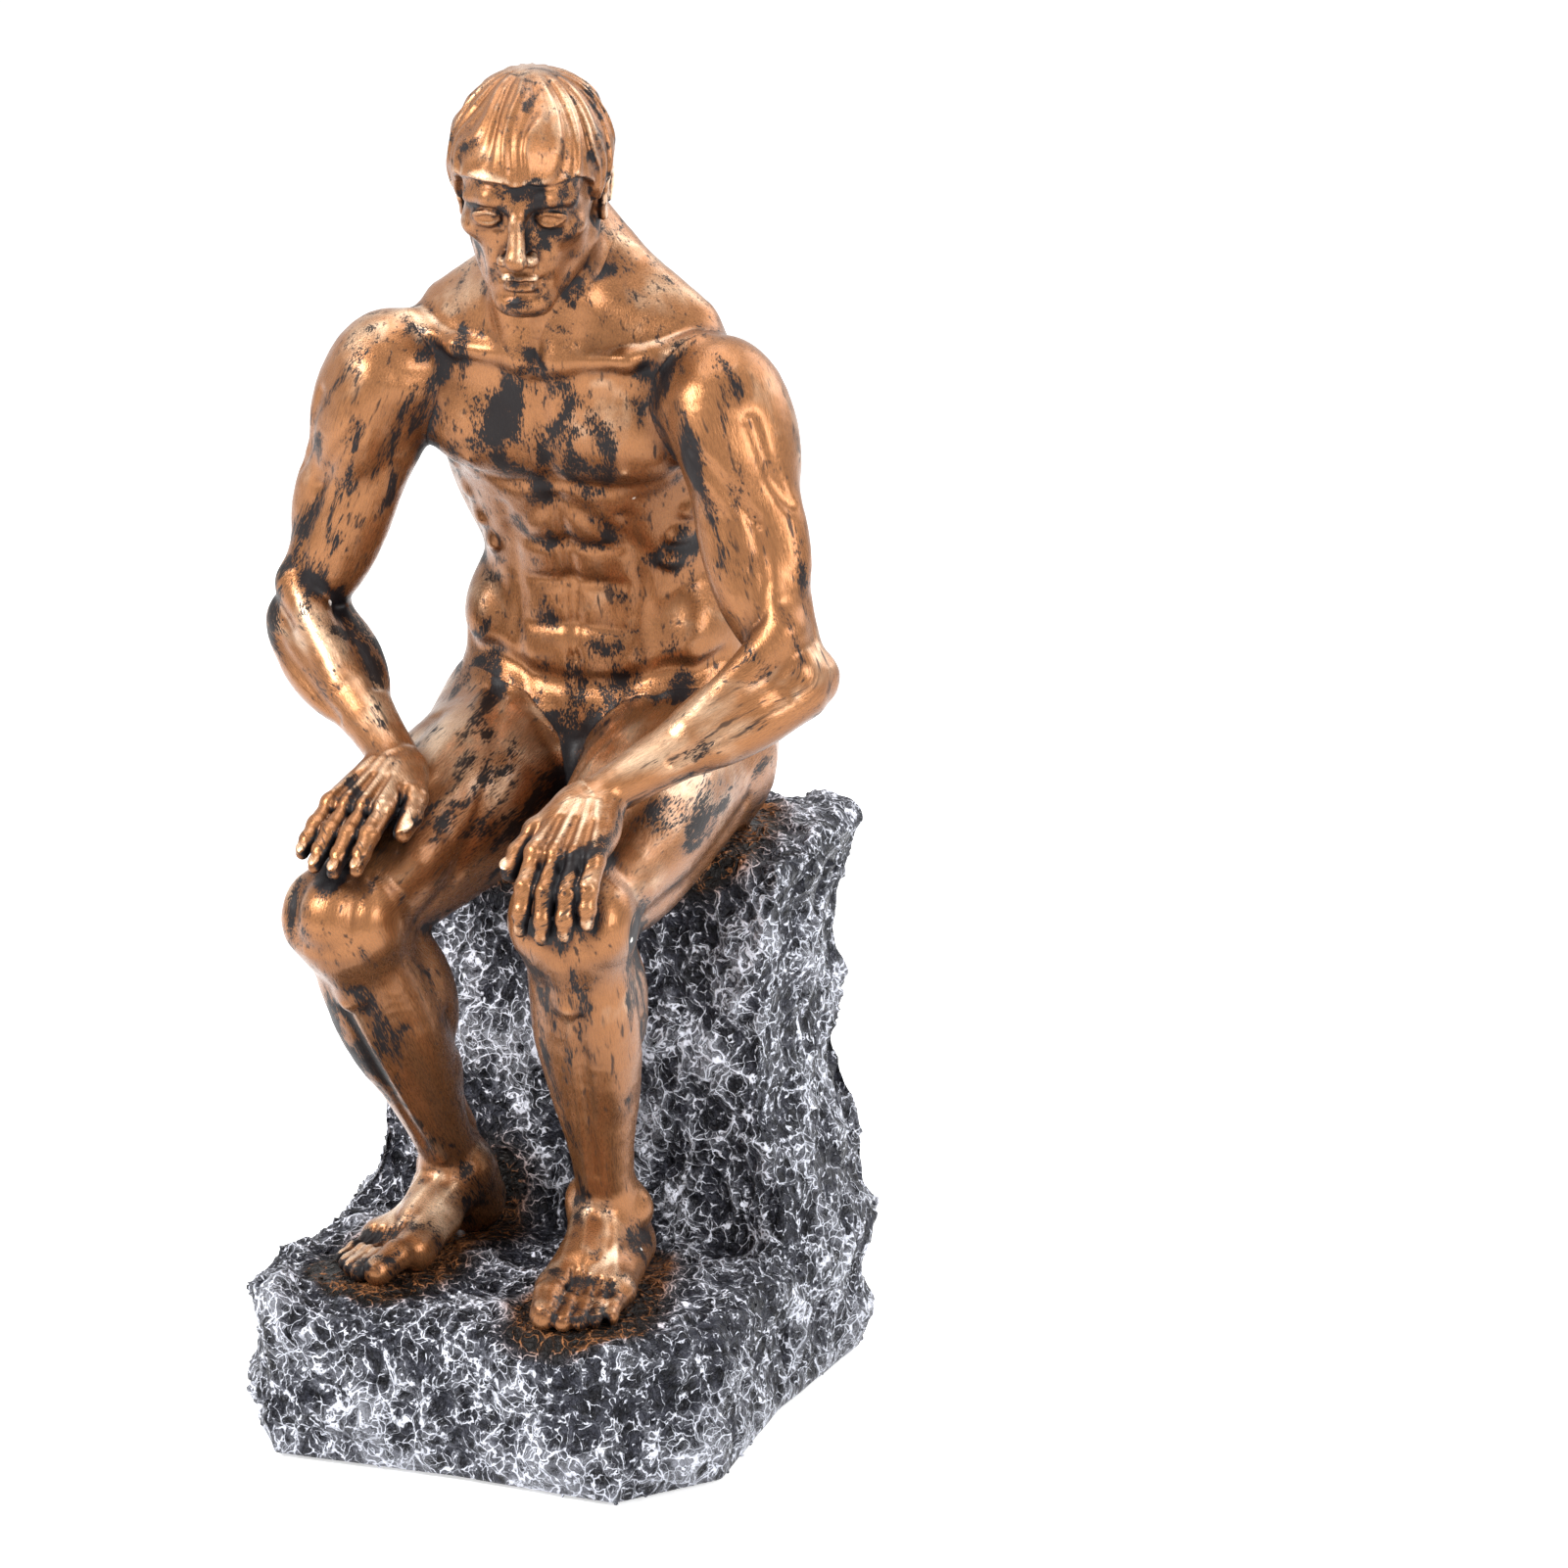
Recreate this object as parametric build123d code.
from build123d import *

import os
from math import cos, pi, radians, sin, sqrt

# Seated figure on a rock, a tabletop statue in millimetres.
# +Z is up, the figure looks along -Y, and its left side is on +X.
# The origin is on the table, under the middle of the rock.

# Driving sizes of the statue
stature = 308.0            # height of the figure if it stood up
seat_height = 109.0        # table to the top of the seat
ledge_height = 32.0        # table to the top of the foot ledge

# Rock casting
base_width = 100.0
base_depth = 116.0
base_foot_height = 7.0     # height of the undercut round the foot of the rock
ledge_round = 5.0          # height of the sloped upper edge of the ledge
seat_width = 92.0
seat_front_y = 4.0         # front edge of the seat
seat_back_y = 55.0         # back edge of the seat
seat_round = 4.0           # height of the worn upper edge of the seat
rock_wall = 6.0
seat_roof = 12.0           # rock left above the cavity, under the seat
ledge_roof = 10.0          # rock left above the cavity, under the feet
rock_overlap = 2.0         # how deep the seat block is rooted in the ledge
cut_overrun = 1.0          # how far every cut runs past the face it opens

# Closing plate, felt and screws under the rock
felt_thickness = 1.5
felt_inset = 5.0
plate_thickness = 3.0
plate_lip = 3.0            # width of the rebate that carries the plate
plate_clearance = 0.3
screw_radius = 1.5
screw_length = 12.0
screw_head_radius = 3.0
screw_head_height = 1.6
screw_clearance = 0.2
boss_radius = 5.0
boss_wall = 2.5            # rock left between a boss and the chamber
boss_place_share = 0.70    # boss centres as a share of the cavity's half sizes

# Ballast in the cavity
ballast_height = 46.0
ballast_gap = 1.5
ballast_edge = 4.0

# Stud, washer and nut that hold the figure on the seat
stud_radius = 3.0
stud_clearance = 0.15
stud_in_figure = 16.0
stud_below_roof = 11.0
stud_y = 25.0
washer_radius = 8.0
washer_thickness = 1.6
nut_across_flats = 10.0
nut_height = 5.0

# Dowels between the castings
dowel_clearance = 0.1
dowel_end_gap = 0.5
dowel_chamfer = 0.4
neck_dowel_radius = 2.5
neck_dowel_reach = 9.0
shoulder_dowel_radius = 2.0
shoulder_dowel_reach = 8.0
hip_dowel_radius = 2.5
hip_dowel_reach = 10.0
foot_dowel_radius = 1.2
foot_dowel_reach = 6.0

# Where the figure sits and how it is posed
hip_y = 25.0
left_ankle = (18.0, -19.0)
right_ankle = (-17.0, -9.0)
left_toe_out = 9.0         # degrees that each foot turns out
right_toe_out = 14.0
torso_lean = 15.0          # degrees forward
head_turn = 14.0           # degrees towards the figure's left
head_bow = 13.0            # degrees forward
left_wrist_back = 13.0     # wrist behind the knee, along the thigh
right_wrist_back = 27.0
left_hand_pitch = 13.0     # degrees that the palm slopes down
right_hand_pitch = 2.0
left_finger_curl = 82.0    # degrees that the fingers bend over
right_finger_curl = 14.0
palm_gap = 0.4             # between a palm and the thigh under it

# Lengths of the body as shares of the stature
hip_rise_share = 0.048     # hip joint above the seat
hip_half_share = 0.054     # hip joint beside the middle
torso_share = 0.288        # hip joint to the shoulder line
thigh_share = 0.245
shank_share = 0.236
ankle_rise_share = 0.040
foot_share = 0.148
foot_heel_share = 0.036    # heel behind the ankle
foot_half_share = 0.0265
shoulder_half_share = 0.104
shoulder_drop_share = 0.034
shoulder_forward_share = 0.014
upper_arm_share = 0.178
forearm_share = 0.142
palm_share = 0.056
head_share = 0.130
head_rise_share = 0.094    # neck base to the middle of the head
head_forward_share = 0.050

# Poles: the way that the knees and the elbows point, as shares of a unit arrow
knee_pole_shares = (0.10, -1.0, 0.30)
left_elbow_pole_shares = (0.95, 0.45, -0.10)
right_elbow_pole_shares = (-0.90, 0.60, -0.10)

# Rings of the torso: along it, half width, front depth, back depth
torso_ring_shares = (
    (-0.165, 0.090, 0.052, 0.070),
    (0.00, 0.101, 0.060, 0.082),
    (0.20, 0.092, 0.057, 0.071),
    (0.40, 0.078, 0.054, 0.058),
    (0.60, 0.086, 0.063, 0.064),
    (0.78, 0.098, 0.066, 0.072),
    (0.93, 0.103, 0.052, 0.066),
    (1.03, 0.080, 0.038, 0.052),
    (1.13, 0.040, 0.034, 0.038),
)
spine_slump_share = 0.030  # how far the waist bows backwards

# Rings of a limb: along the segment, half width, outer depth, inner depth
hip_ball_share = 0.056
thigh_ring_shares = (
    (0.02, 0.053, 0.048, 0.054),
    (0.28, 0.052, 0.050, 0.054),
    (0.56, 0.046, 0.046, 0.044),
    (0.80, 0.038, 0.039, 0.036),
    (1.00, 0.0325, 0.0335, 0.032),
)
knee_ball_share = 0.0375
shank_ring_shares = (
    (0.00, 0.0310, 0.029, 0.030),
    (0.20, 0.0320, 0.028, 0.036),
    (0.38, 0.0330, 0.026, 0.040),
    (0.60, 0.0265, 0.022, 0.030),
    (0.82, 0.0190, 0.018, 0.021),
    (1.00, 0.0180, 0.018, 0.021),
)
upper_arm_ring_shares = (
    (0.00, 0.031, 0.031, 0.031),
    (0.20, 0.0340, 0.034, 0.031),
    (0.48, 0.0270, 0.028, 0.030),
    (0.80, 0.0220, 0.0235, 0.023),
    (1.00, 0.0195, 0.0200, 0.0195),
)
shoulder_ball_share = 0.0345
elbow_ball_share = 0.0225
forearm_ring_shares = (
    (0.00, 0.0195, 0.0190, 0.0195),
    (0.21, 0.0245, 0.0225, 0.0255),
    (0.42, 0.0230, 0.0205, 0.0235),
    (0.76, 0.0170, 0.0150, 0.0165),
    (1.00, 0.0160, 0.0130, 0.0130),
)
ring_points = 10

# Hand: palm rings along the palm, half width, half thickness
palm_ring_shares = (
    (-0.06, 0.0155, 0.0120),
    (0.35, 0.0215, 0.0125),
    (0.85, 0.0245, 0.0110),
    (1.12, 0.0225, 0.0075),
)
# Fingers: place across the knuckles, length
finger_shares = ((0.0180, 0.049), (0.0062, 0.053), (-0.0056, 0.050), (-0.0168, 0.040))
finger_radius_share = 0.0056
finger_fan_share = 4.0     # how far the fingers fan out
finger_root_share = 0.012  # finger rooted in the palm
# Rings of a finger or toe: along it, share of its radius
finger_ring_shares = ((0.0, 1.0), (0.35, 0.98), (0.70, 0.92), (0.90, 0.78), (1.0, 0.40))
thumb_length_share = 0.046
thumb_radius_share = 0.0072
thumb_root_share = 0.30    # along the palm
thumb_side_share = 0.015   # beside the middle of the palm
thumb_spread = 38.0        # degrees
thumb_curl = 30.0

# Foot rings along the foot from the heel, half width, height
foot_ring_shares = (
    (0.02, 0.55, 0.60),
    (0.14, 0.72, 1.00),
    (0.32, 0.78, 1.12),
    (0.52, 0.88, 0.82),
    (0.72, 1.00, 0.56),
    (0.84, 0.94, 0.40),
)
foot_height_share = 0.040
# Toes: place across the ball, radius, reach along the foot
toe_shares = (
    (-0.66, 0.0098, 1.00),
    (-0.20, 0.0068, 1.00),
    (0.14, 0.0064, 0.97),
    (0.46, 0.0060, 0.93),
    (0.75, 0.0056, 0.88),
)
toe_root_share = 0.74
toe_curl = 16.0            # degrees
toe_lift_share = 0.004     # root of a toe above where it would lie flat

# Rings of the head: height from its middle, half width, front, back, in head heights
head_ring_shares = (
    (-0.50, 0.10, 0.39, -0.16),
    (-0.43, 0.19, 0.435, 0.02),
    (-0.28, 0.265, 0.445, 0.24),
    (-0.10, 0.310, 0.445, 0.39),
    (0.06, 0.325, 0.450, 0.445),
    (0.20, 0.330, 0.425, 0.455),
    (0.34, 0.285, 0.345, 0.405),
    (0.44, 0.200, 0.220, 0.290),
    (0.49, 0.090, 0.090, 0.150),
)
hair_ring_shares = (
    (0.17, 0.350, 0.470, 0.470),
    (0.26, 0.345, 0.440, 0.475),
    (0.38, 0.285, 0.335, 0.405),
    (0.47, 0.180, 0.190, 0.270),
    (0.52, 0.060, 0.060, 0.120),
)
neck_radius_share = 0.0335
neck_root_share = 0.035    # neck rooted in the torso
nose_bridge_shares = (0.04, 0.435)
nose_base_shares = (-0.17, 0.085, 0.400, 0.555)
ear_shares = (0.035, -0.05, 0.095, 0.33)   # y, z, radius, x
ear_thickness_share = 0.085
ear_round_share = 0.35

# Outlines of the rock as shares of its half sizes, seen from above
ledge_outline_shares = (
    (-0.74, -1.00), (0.02, -0.97), (0.70, -1.00), (1.00, -0.66), (0.95, 0.02), (1.00, 0.74),
    (0.78, 1.00), (0.05, 0.96), (-0.80, 1.00), (-1.00, 0.76), (-0.94, 0.04), (-1.00, -0.62),
)
# Levels of the ledge: share of the outline's width and depth
ledge_foot_shares = (0.95, 0.95)
ledge_waist_shares = (0.97, 0.975)
ledge_top_shares = (0.92, 0.93)
seat_outline_shares = (
    (-0.92, -0.93), (-0.30, -1.00), (0.34, -0.95), (0.94, -0.98), (1.00, -0.30), (0.96, 0.40),
    (0.92, 0.96), (0.20, 1.00), (-0.45, 0.97), (-0.95, 0.94), (-1.00, 0.30), (-0.95, -0.35),
)
# Levels of the seat block: height between ledge and seat, outline width, depth, shift aside and back
seat_level_shares = (
    (0.12, 0.99, 0.97, 0.03, 0.02),
    (0.34, 0.91, 0.95, -0.02, 0.03),
    (0.60, 0.87, 0.91, 0.02, 0.01),
    (0.80, 0.93, 0.94, -0.02, 0.02),
)
seat_root_shares = (1.03, 1.00)
seat_top_shares = (0.96, 0.96)

UP = Vector(0, 0, 1)
LEFT, RIGHT = 1, -1


def arrow(shares, side=LEFT):
    """Unit arrow from three shares, mirrored for the figure's right side."""
    return Vector(shares[0] * side, shares[1], shares[2]).normalized()


def ring(centre, across, outward, half_width, outer, inner):
    """Closed smooth ring: half_width across, outer and inner depth along outward."""
    points = []
    for step in range(ring_points):
        angle = 2 * pi * step / ring_points
        depth = outer if sin(angle) > 0 else inner
        points.append(centre + across * (half_width * cos(angle)) + outward * (depth * sin(angle)))
    return Wire([Edge.make_spline(points, periodic=True)])


def bent_middle(root, tip, near, far, pole):
    """Knee or elbow of a limb of two lengths from root to tip, on the side of the pole."""
    line = tip - root
    reach = line.length
    along = line.normalized()
    foot_of_height = (near**2 - far**2 + reach**2) / (2 * reach)
    height = sqrt(near**2 - foot_of_height**2)
    aside = (pole - along * pole.dot(along)).normalized()
    return root + along * foot_of_height + aside * height


class Limb:
    """A bent limb of two segments with its own directions."""

    def __init__(self, root, tip, near, far, pole):
        self.root, self.tip = root, tip
        self.middle = bent_middle(root, tip, near, far, pole)
        self.near_way = (self.middle - root).normalized()
        self.far_way = (tip - self.middle).normalized()
        self.across = self.near_way.cross(self.far_way).normalized()
        bend = self.near_way.dot(self.far_way)
        self.near_out = (self.near_way * bend - self.far_way).normalized()
        self.far_out = (self.near_way - self.far_way * bend).normalized()

    def segment(self, start, end, outward, rows):
        """Smooth skin of one segment through its rings."""
        return Solid.make_loft([
            ring(start + (end - start) * share, self.across, outward, *(stature * size for size in sizes))
            for share, *sizes in rows
        ])

    def solid(self, near_rings, ball_share, far_rings):
        """Both segments with a ball in the bend."""
        near = self.segment(self.root, self.middle, self.near_out, near_rings)
        far = self.segment(self.middle, self.tip, self.far_out, far_rings)
        return fuse_all(near, [ball(self.middle, stature * ball_share), far])


def fuse_all(first, others):
    """One solid from several that overlap."""
    joined = first
    for other in others:
        joined = joined.fuse(other).solids().sort_by(SortBy.VOLUME)[-1]
    return joined


def cut_all(solid, tools):
    """The largest piece of a solid after its cuts."""
    left = solid
    for tool in tools:
        left = left.cut(tool).solids().sort_by(SortBy.VOLUME)[-1]
    return left


def ball(centre, radius):
    """Round ball about a point."""
    return Solid.make_sphere(radius, Plane(centre))


def rod(start, way, radius, length):
    """Plain round rod from a point along an arrow."""
    return Solid.make_cylinder(radius, length, Plane(start, z_dir=way))


def bent_finger(start, way, palm_side, length, radius, curl):
    """Finger or toe that leaves start along way and curls towards the palm, with a tapered tip."""
    turn = radians(curl)
    bend_radius = length / turn
    across = way.cross(palm_side).normalized()
    rings = []
    for share, size in finger_ring_shares:
        angle = turn * share
        centre = start + way * (bend_radius * sin(angle)) + palm_side * (bend_radius * (1 - cos(angle)))
        outward = way * sin(angle) - palm_side * cos(angle)
        rings.append(ring(centre, across, outward, radius * size, radius * size, radius * size))
    return Solid.make_loft(rings)


def placed_ring(outline_shares, half_width, half_depth, centre, height):
    """Corner wire of a rock level."""
    middle = Vector(*centre, height)
    return Wire.make_polygon([middle + Vector(x * half_width, y * half_depth, 0) for x, y in outline_shares],
                             close=True)


def outline_plate(inset, bottom, thickness):
    """Plate that follows the foot of the rock, inset all round."""
    half_width = base_width / 2 * ledge_foot_shares[0] - inset
    half_depth = base_depth / 2 * ledge_foot_shares[1] - inset
    outline = Face(placed_ring(ledge_outline_shares, half_width, half_depth, (0, 0), bottom))
    return Solid.extrude(outline, UP * thickness)


# Skeleton

hip_z = seat_height + stature * hip_rise_share
hip_middle = Vector(0, hip_y, hip_z)
torso_length = stature * torso_share
torso_way = Vector(0, -sin(radians(torso_lean)), cos(radians(torso_lean)))
torso_out = Vector(0, -cos(radians(torso_lean)), -sin(radians(torso_lean)))
neck_base = hip_middle + torso_way * torso_length
head_middle = neck_base + UP * (stature * head_rise_share) - Vector(0, stature * head_forward_share, 0)


def leg_limb(side, ankle_place):
    """Skeleton of a leg from the hip to the ankle above the ledge."""
    hip = hip_middle + Vector(side * stature * hip_half_share, 0, 0)
    ankle = Vector(*ankle_place, ledge_height + stature * ankle_rise_share)
    pole = arrow(knee_pole_shares, side)
    return Limb(hip, ankle, stature * thigh_share, stature * shank_share, pole)


def thigh_top(leg, back):
    """Depth of a thigh's upper side, at a distance back from the knee."""
    share = 1 - back / (stature * thigh_share)
    rows = [(row[0], row[2]) for row in thigh_ring_shares[:-1]] + [(1, knee_ball_share)]
    for (low, low_depth), (high, high_depth) in zip(rows, rows[1:]):
        if share <= high:
            mix = (share - low) / (high - low)
            return stature * (low_depth + (high_depth - low_depth) * mix)
    return stature * knee_ball_share


class HandPlace:
    """Where a hand lies on its thigh and which way it points."""

    def __init__(self, leg, side, back, pitch, curl):
        tilt = radians(pitch)
        self.fingers = leg.near_way * cos(tilt) - leg.near_out * sin(tilt)
        self.dorsal = leg.near_out * cos(tilt) + leg.near_way * sin(tilt)
        self.thumb = self.fingers.cross(self.dorsal) * side
        palm_depth = stature * palm_ring_shares[1][2]
        lift = thigh_top(leg, back) + palm_depth + palm_gap + stature * palm_share * sin(tilt) / 2
        self.wrist = leg.middle - leg.near_way * back + leg.near_out * lift
        self.curl = curl


def arm_limb(side, hand, pole_shares):
    """Skeleton of an arm from the shoulder to the wrist."""
    shoulder = neck_base + Vector(
        side * stature * shoulder_half_share,
        -stature * shoulder_forward_share,
        -stature * shoulder_drop_share,
    )
    pole = arrow(pole_shares)
    return Limb(shoulder, hand.wrist, stature * upper_arm_share, stature * forearm_share, pole)


# Castings of the figure


def torso_solid():
    """Pelvis, belly, chest and shoulders as one casting."""
    rings = []
    for share, half_width, front, back in torso_ring_shares:
        bow = sin(pi * max(0, min(1, share))) * spine_slump_share * stature
        centre = hip_middle + torso_way * (torso_length * share) - torso_out * bow
        rings.append(ring(centre, Vector(1, 0, 0), torso_out,
                          stature * half_width, stature * front, stature * back))
    return Solid.make_loft(rings)


def foot_solid(ankle, toe_out, side):
    """Foot with its toes, flat on the ledge."""
    length = stature * foot_share
    turn = radians(toe_out) * side
    way = Vector(sin(turn), -cos(turn), 0)
    across = Vector(cos(turn), sin(turn), 0) * side
    sole = ledge_height
    heel = Vector(ankle.X, ankle.Y, sole) - way * (stature * foot_heel_share)
    rings = []
    for share, width, height in foot_ring_shares:
        rings.append(ring(heel + way * (length * share), across, UP,
                          stature * foot_half_share * width,
                          stature * foot_height_share * height,
                          stature * foot_height_share * height / 2))
    foot = Solid.make_loft(rings)
    toes = []
    for place, radius_share, reach in toe_shares:
        radius = stature * radius_share
        start = heel + way * (length * toe_root_share) + across * (stature * foot_half_share * place)
        start += UP * (radius + stature * toe_lift_share)
        toes.append(bent_finger(start, way, UP * -1, length * (reach - toe_root_share), radius, toe_curl))
    return fuse_all(foot, toes)


def leg_solid(leg, toe_out, side):
    """Thigh, shank and foot."""
    skin = leg.solid(thigh_ring_shares, knee_ball_share, shank_ring_shares)
    return fuse_all(skin, [ball(leg.root, stature * hip_ball_share), foot_solid(leg.tip, toe_out, side)])


def hand_solids(hand):
    """Palm, four fingers and thumb, which overlap each other."""
    palm_length = stature * palm_share
    palm = Solid.make_loft([
        ring(hand.wrist + hand.fingers * (palm_length * share), hand.thumb, hand.dorsal,
             stature * width, stature * thickness, stature * thickness)
        for share, width, thickness in palm_ring_shares
    ])
    pieces = [palm]
    knuckle = hand.wrist + hand.fingers * palm_length
    for place, length in finger_shares:
        root = stature * finger_root_share
        start = knuckle + hand.thumb * (stature * place) - hand.fingers * root
        way = (hand.fingers + hand.thumb * (finger_fan_share * place)).normalized()
        pieces.append(bent_finger(start, way, hand.dorsal * -1, stature * length + root,
                                  stature * finger_radius_share, hand.curl))
    spread = radians(thumb_spread)
    thumb_way = hand.fingers * cos(spread) + hand.thumb * sin(spread)
    thumb_start = (hand.wrist + hand.fingers * (palm_length * thumb_root_share)
                   + hand.thumb * (stature * thumb_side_share))
    pieces.append(bent_finger(thumb_start, thumb_way, hand.thumb * -cos(spread) + hand.fingers * sin(spread),
                              stature * thumb_length_share, stature * thumb_radius_share, thumb_curl))
    return pieces


def arm_solid(arm, hand):
    """Upper arm, forearm and hand."""
    skin = arm.solid(upper_arm_ring_shares, elbow_ball_share, forearm_ring_shares)
    return fuse_all(skin, [ball(arm.root, stature * shoulder_ball_share), *hand_solids(hand)])


class HeadFrame:
    """Directions of the turned and bowed head."""

    def __init__(self):
        turn, bow = radians(head_turn), radians(head_bow)
        level_front = Vector(sin(turn), -cos(turn), 0)
        self.side = Vector(cos(turn), sin(turn), 0)
        self.front = level_front * cos(bow) - UP * sin(bow)
        self.up = UP * cos(bow) + level_front * sin(bow)
        self.height = stature * head_share

    def point(self, x, front, z):
        """Place in the head, in shares of its height."""
        return (head_middle + self.side * (x * self.height) + self.front * (front * self.height)
                + self.up * (z * self.height))

    def skull(self, rows):
        """Skin through level rings of the head."""
        rings = []
        for z, half_width, front, back in rows:
            half_depth = (front + back) / 2 * self.height
            centre = self.point(0, (front - back) / 2, z)
            wide = half_width * self.height
            rings.append(ring(centre, self.side, self.front, wide, half_depth, half_depth))
        return Solid.make_loft(rings)


def head_solid(torso):
    """Head with neck, hair, nose and ears."""
    head = HeadFrame()
    neck_start = neck_base - torso_way * (stature * neck_root_share)
    neck_end = head.point(0, 0, 0)
    neck_way = (neck_end - neck_start).normalized()
    neck = rod(neck_start, neck_way, stature * neck_radius_share, (neck_end - neck_start).length)
    bridge_z, bridge_front = nose_bridge_shares
    base_z, nose_half, base_front, tip_front = nose_base_shares
    nose_base = ring(head.point(0, (base_front + tip_front) / 2, base_z), head.side, head.front,
                     nose_half * head.height, (tip_front - base_front) / 2 * head.height,
                     (tip_front - base_front) / 2 * head.height)
    nose = Solid.make_loft([Vertex(*head.point(0, bridge_front, bridge_z)), nose_base])
    ear_front, ear_z, ear_radius, ear_x = ear_shares
    ears = []
    for side in (LEFT, RIGHT):
        start = head.point(side * (ear_x - ear_thickness_share), -ear_front, ear_z)
        ear = rod(start, head.side * side, ear_radius * head.height, 2 * ear_thickness_share * head.height)
        rim = ear.edges().filter_by(GeomType.CIRCLE).sort_by(Axis(start, head.side * side))[-1]
        ears.append(ear.fillet(ear_round_share * ear_thickness_share * head.height, [rim]))
    skull = head.skull(head_ring_shares)
    whole = fuse_all(skull, [neck, head.skull(hair_ring_shares), nose, *ears])
    return cut_all(whole, [torso])


# Rock and what is under it

rock_bottom = felt_thickness
cavity_inset = rock_wall + plate_lip
cavity_top = ledge_height - ledge_roof
chamber_front = seat_front_y + 2 * rock_wall
chamber_back = min(seat_back_y, base_depth / 2 * ledge_foot_shares[1]) - 2 * rock_wall
chamber_top = seat_height - seat_roof
boss_x = (base_width / 2 * ledge_foot_shares[0] - cavity_inset) * boss_place_share
boss_y = (base_depth / 2 * ledge_foot_shares[1] - cavity_inset) * boss_place_share
boss_places = [(x * boss_x, y * boss_y) for x in (-1, 1) for y in (-1, 1)]
chamber_width = 2 * (boss_x - boss_radius - boss_wall)
plate_top = rock_bottom + plate_thickness


def rock_block():
    """Outer shape of the rock: the foot ledge with the seat block rooted in it."""
    half_width, half_depth = base_width / 2, base_depth / 2
    levels = [
        (rock_bottom, *ledge_foot_shares),
        (rock_bottom + base_foot_height, 1, 1),
        ((rock_bottom + ledge_height) / 2, *ledge_waist_shares),
        (ledge_height - ledge_round, 1, 1),
        (ledge_height, *ledge_top_shares),
    ]
    ledge = Solid.make_loft(
        [placed_ring(ledge_outline_shares, half_width * x, half_depth * y, (0, 0), z) for z, x, y in levels],
        ruled=True,
    )
    seat_rise = seat_height - ledge_height
    seat_half_depth = (seat_back_y - seat_front_y) / 2
    seat_middle = (seat_back_y + seat_front_y) / 2
    levels = [(ledge_height - rock_overlap, *seat_root_shares, 0, 0)]
    levels += [(ledge_height + seat_rise * z, *shares) for z, *shares in seat_level_shares]
    levels += [(seat_height - seat_round, 1, 1, 0, 0), (seat_height, *seat_top_shares, 0, 0)]
    rings = []
    for z, width, depth, aside, back in levels:
        centre = (aside * seat_width / 2, seat_middle + back * seat_half_depth)
        half_wide = seat_width / 2 * width
        half_deep = seat_half_depth * depth
        rings.append(placed_ring(seat_outline_shares, half_wide, half_deep, centre, z))
    block = Solid.make_loft(rings, ruled=True)
    return fuse_all(ledge, [block])


def rock_solid(block):
    """Rock casting with its cavity, plate rebate and screw bosses."""
    low = rock_bottom - cut_overrun
    cavity = outline_plate(cavity_inset, low, cavity_top - low)
    chamber = Solid.make_box(chamber_width, chamber_back - chamber_front, chamber_top - low,
                             Plane((-chamber_width / 2, chamber_front, low)))
    rebate = outline_plate(rock_wall, low, plate_top - low)
    bosses = [
        rod(Vector(x, y, plate_top), UP, boss_radius, cavity_top - plate_top + cut_overrun)
        for x, y in boss_places
    ]
    shell = fuse_all(cut_all(block, [cavity, chamber, rebate]), bosses)
    pilots = [
        rod(Vector(x, y, rock_bottom), UP, screw_radius, screw_length + dowel_end_gap)
        for x, y in boss_places
    ]
    stud_hole = rod(Vector(0, stud_y, chamber_top - cut_overrun), UP, stud_radius + stud_clearance,
                    seat_roof + 2 * cut_overrun)
    return cut_all(shell, [*pilots, stud_hole])


def screw_solid(x, y):
    """Countersunk wood screw, head flush with the plate's underside."""
    head = Solid.make_cone(screw_head_radius, screw_radius, screw_head_height, Plane((x, y, rock_bottom)))
    shank = rod(Vector(x, y, rock_bottom), UP, screw_radius, screw_length)
    return fuse_all(shank, [head])


def plate_solid():
    """Closing plate with countersunk screw holes."""
    plate = outline_plate(rock_wall + plate_clearance, rock_bottom, plate_thickness)
    tools = []
    for x, y in boss_places:
        tools.append(rod(Vector(x, y, rock_bottom - cut_overrun), UP, screw_radius + screw_clearance,
                         plate_thickness + 2 * cut_overrun))
        tools.append(Solid.make_cone(screw_head_radius + screw_clearance, screw_radius + screw_clearance,
                                     screw_head_height, Plane((x, y, rock_bottom))))
    return cut_all(plate, tools)


def felt_solid():
    """Felt sheet that the statue stands on."""
    return outline_plate(felt_inset, 0, felt_thickness)


def ballast_solid():
    """Cast weight that stands on the plate, inside the chamber."""
    width = chamber_width - 2 * ballast_gap
    depth = chamber_back - chamber_front - 2 * ballast_gap
    block = Solid.make_box(width, depth, ballast_height,
                           Plane((-width / 2, chamber_front + ballast_gap, plate_top)))
    return block.fillet(ballast_edge, block.edges().filter_by(Axis.Z))


def washer_solid():
    """Washer under the roof of the chamber."""
    bottom = Vector(0, stud_y, chamber_top - washer_thickness)
    disc = rod(bottom, UP, washer_radius, washer_thickness)
    return cut_all(disc, [rod(bottom - UP * cut_overrun, UP, stud_radius + stud_clearance,
                              washer_thickness + 2 * cut_overrun)])


def nut_solid():
    """Hexagon nut under the washer."""
    bottom = Vector(0, stud_y, chamber_top - washer_thickness - nut_height)
    hexagon = Plane(bottom) * RegularPolygon(nut_across_flats / 2, 6, major_radius=False)
    body = extrude(hexagon, amount=nut_height).solids()[0]
    return cut_all(body, [rod(bottom - UP * cut_overrun, UP, stud_radius, nut_height + 2 * cut_overrun)])


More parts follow.
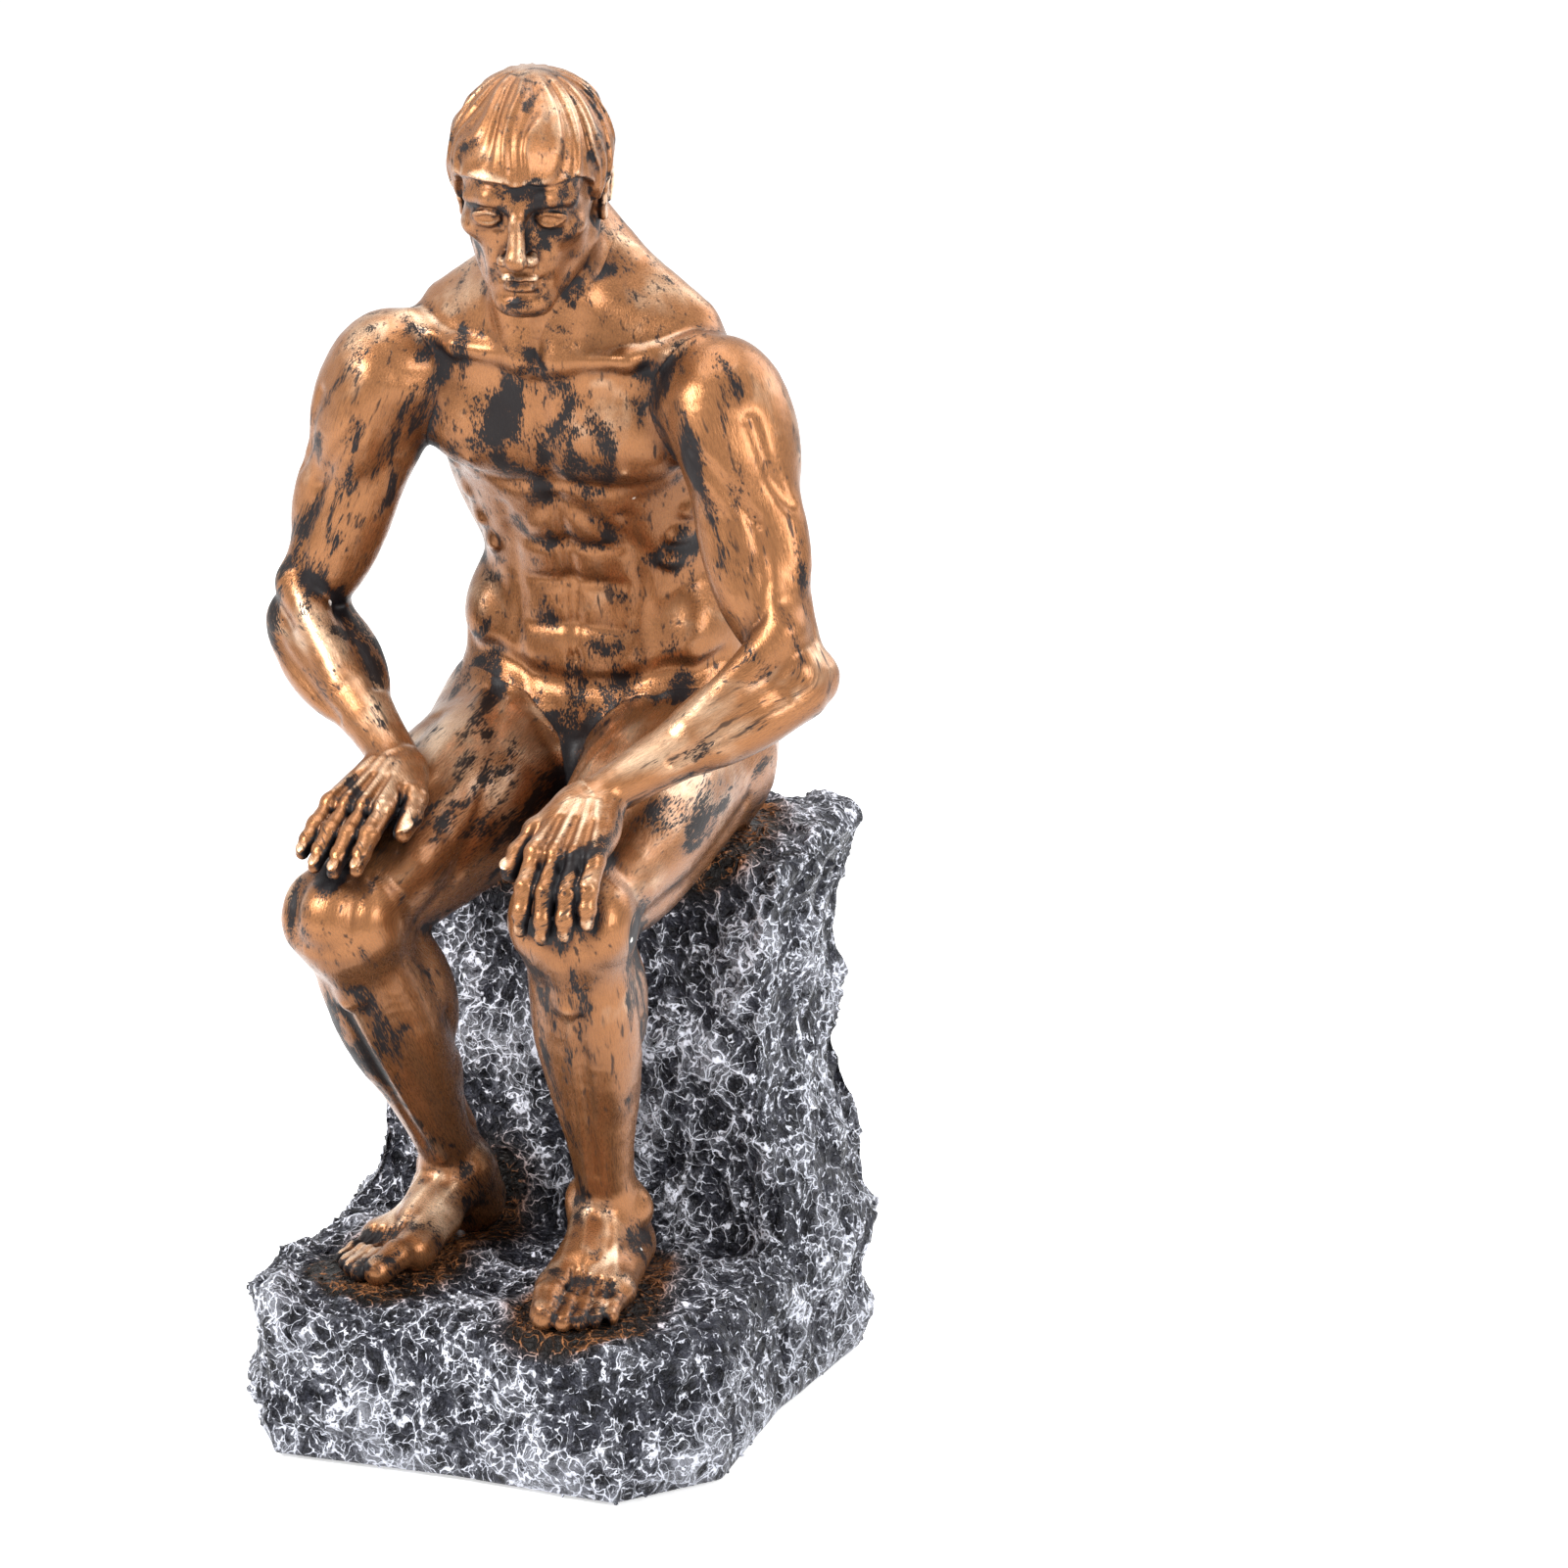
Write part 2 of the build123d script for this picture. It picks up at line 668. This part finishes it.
def stud_solid():
    """Stud from the pelvis down into the chamber."""
    length = stud_below_roof + seat_roof + stud_in_figure
    stud = rod(Vector(0, stud_y, chamber_top - stud_below_roof), UP, stud_radius, length)
    return stud.chamfer(dowel_chamfer, None, stud.edges().filter_by(GeomType.CIRCLE))


class Dowel:
    """Round pin across a joint, with the hole that it needs in both castings."""

    def __init__(self, middle, way, radius, reach):
        self.middle, self.way, self.radius, self.reach = middle, way.normalized(), radius, reach

    def pin(self):
        """The pin with chamfered ends."""
        body = rod(self.middle - self.way * self.reach, self.way, self.radius, 2 * self.reach)
        return body.chamfer(dowel_chamfer, None, body.edges().filter_by(GeomType.CIRCLE))

    def hole(self):
        """The drilled hole, a little wider and longer than the pin."""
        reach = self.reach + dowel_end_gap
        return rod(self.middle - self.way * reach, self.way, self.radius + dowel_clearance, 2 * reach)


def build():
    """Every casting and fastener by node name."""
    left_leg = leg_limb(LEFT, left_ankle)
    right_leg = leg_limb(RIGHT, right_ankle)
    left_hand = HandPlace(left_leg, LEFT, left_wrist_back, left_hand_pitch, left_finger_curl)
    right_hand = HandPlace(right_leg, RIGHT, right_wrist_back, right_hand_pitch, right_finger_curl)
    left_arm = arm_limb(LEFT, left_hand, left_elbow_pole_shares)
    right_arm = arm_limb(RIGHT, right_hand, right_elbow_pole_shares)

    block = rock_block()
    torso = cut_all(torso_solid(), [block])
    neck_dowel = Dowel(neck_base + torso_way * (stature * neck_root_share), torso_way,
                       neck_dowel_radius, neck_dowel_reach)
    shoulder_dowels, hip_dowels, foot_dowels = [], [], []
    for side, leg, arm in ((LEFT, left_leg, left_arm), (RIGHT, right_leg, right_arm)):
        outward = Vector(side, 0, 0)
        shoulder_dowels.append(Dowel(arm.root, outward, shoulder_dowel_radius, shoulder_dowel_reach))
        hip_dowels.append(Dowel(leg.root + leg.near_way * (stature * hip_half_share), leg.near_way,
                                hip_dowel_radius, hip_dowel_reach))
        foot_dowels.append(Dowel(Vector(leg.tip.X, leg.tip.Y, ledge_height), UP,
                                 foot_dowel_radius, foot_dowel_reach))
    hip_holes = [dowel.hole() for dowel in hip_dowels]
    foot_holes = [dowel.hole() for dowel in foot_dowels]
    shoulder_holes = [dowel.hole() for dowel in shoulder_dowels]
    stud_hole = rod(Vector(0, stud_y, seat_height - cut_overrun), UP, stud_radius + stud_clearance,
                    stud_in_figure + cut_overrun + dowel_end_gap)

    legs = []
    for leg, toe_out, side in ((left_leg, left_toe_out, LEFT), (right_leg, right_toe_out, RIGHT)):
        legs.append(cut_all(leg_solid(leg, toe_out, side), [block, torso]))
    legs[1] = cut_all(legs[1], [legs[0]])
    arms = []
    for arm, hand, leg in ((left_arm, left_hand, legs[0]), (right_arm, right_hand, legs[1])):
        arms.append(cut_all(arm_solid(arm, hand), [torso, leg]))

    return {
        "rock_base": [cut_all(rock_solid(block), foot_holes)],
        "base_plate": [plate_solid()],
        "base_plate_screws": [screw_solid(x, y) for x, y in boss_places],
        "felt_sheet": [felt_solid()],
        "ballast_block": [ballast_solid()],
        "seat_stud": [stud_solid()],
        "seat_washer": [washer_solid()],
        "seat_nut": [nut_solid()],
        "figure_head": [cut_all(head_solid(torso), [neck_dowel.hole()])],
        "figure_torso": [cut_all(torso, [neck_dowel.hole(), stud_hole, *hip_holes, *shoulder_holes])],
        "left_arm": [cut_all(arms[0], [shoulder_holes[0]])],
        "right_arm": [cut_all(arms[1], [shoulder_holes[1]])],
        "left_leg": [cut_all(legs[0], [hip_holes[0], foot_holes[0]])],
        "right_leg": [cut_all(legs[1], [hip_holes[1], foot_holes[1]])],
        "neck_dowel": [neck_dowel.pin()],
        "shoulder_dowels": [dowel.pin() for dowel in shoulder_dowels],
        "hip_dowels": [dowel.pin() for dowel in hip_dowels],
        "foot_dowels": [dowel.pin() for dowel in foot_dowels],
    }


os.makedirs("parts", exist_ok=True)
for node, solids in build().items():
    export_step(Compound(children=solids) if len(solids) > 1 else solids[0], f"parts/{node}.step")
